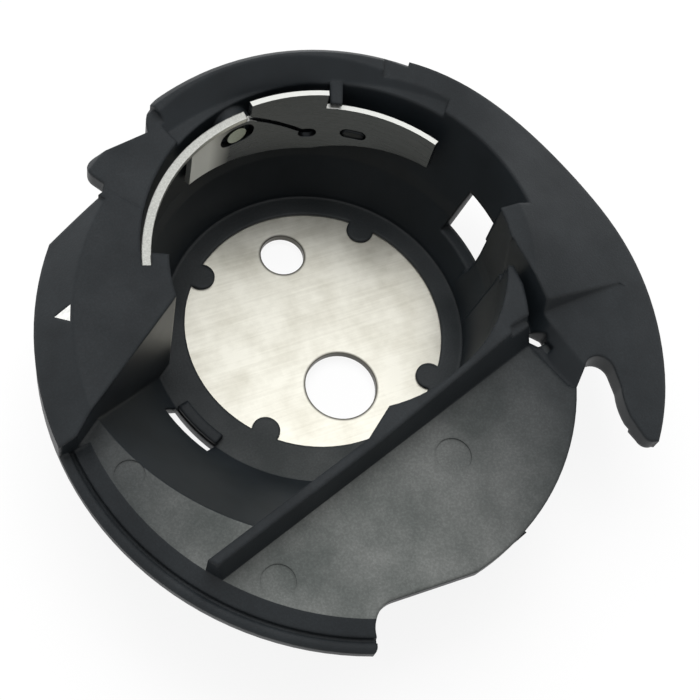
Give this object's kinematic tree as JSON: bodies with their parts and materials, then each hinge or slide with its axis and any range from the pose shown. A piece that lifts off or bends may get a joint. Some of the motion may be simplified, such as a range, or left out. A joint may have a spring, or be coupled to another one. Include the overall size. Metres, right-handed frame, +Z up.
{
  "type": "sewing machine bobbin case",
  "caption": "Drop-in sewing-machine bobbin case: black moulded cup with an off-centre bearing flange, steel floor disc, slit tension leaf and a slotted tension screw sealed with lacquer.",
  "frame": {"origin": "on the bearing rim's axis, which is the axis of the large floor hole, level with the underside of the steel floor plate, 0.3 mm above the cup's own underside", "axes": "+Z up out of the open well, +Y from the rim's axis to the well's axis and the tension screw's side, +X right-handed"},
  "size_m": [0.0418, 0.0404, 0.0125],
  "materials": {
    "moulding": "spark-eroded matte with polished well walls",
    "plate_steel": "rolled, lightly scratched",
    "spring_steel": "bright spring strip",
    "strip_steel": "bright",
    "screw_steel": "turned, tinted by the lacquer",
    "lacquer": "glossy thread-lock lacquer",
    "mark_paint": "flat white paint"
  },
  "bodies": {
    "case": {"case_body": "moulding", "floor_plate": "plate_steel", "guide_strip": "strip_steel", "thread_lock_seal": "lacquer", "index_mark": "mark_paint"},
    "spring": {"tension_spring": "spring_steel"},
    "screw": {"tension_screw": "screw_steel"}
  },
  "joints": [
    {"name": "tension_screw_turn", "type": "hinge", "parent": "case", "child": "screw", "pos_m": [-0.00253, 0.01867, 0.0089], "axis": [-0.1805, 0.9836, 0], "range_deg": [-180, 180]},
    {"name": "spring_flex", "type": "hinge", "parent": "case", "child": "spring", "pos_m": [0.01036, 0.01163, 0.0087], "axis": [0, 0, 1], "range_deg": [0, 1.5], "stiffness_Nm_per_rad": 0.5}
  ]
}
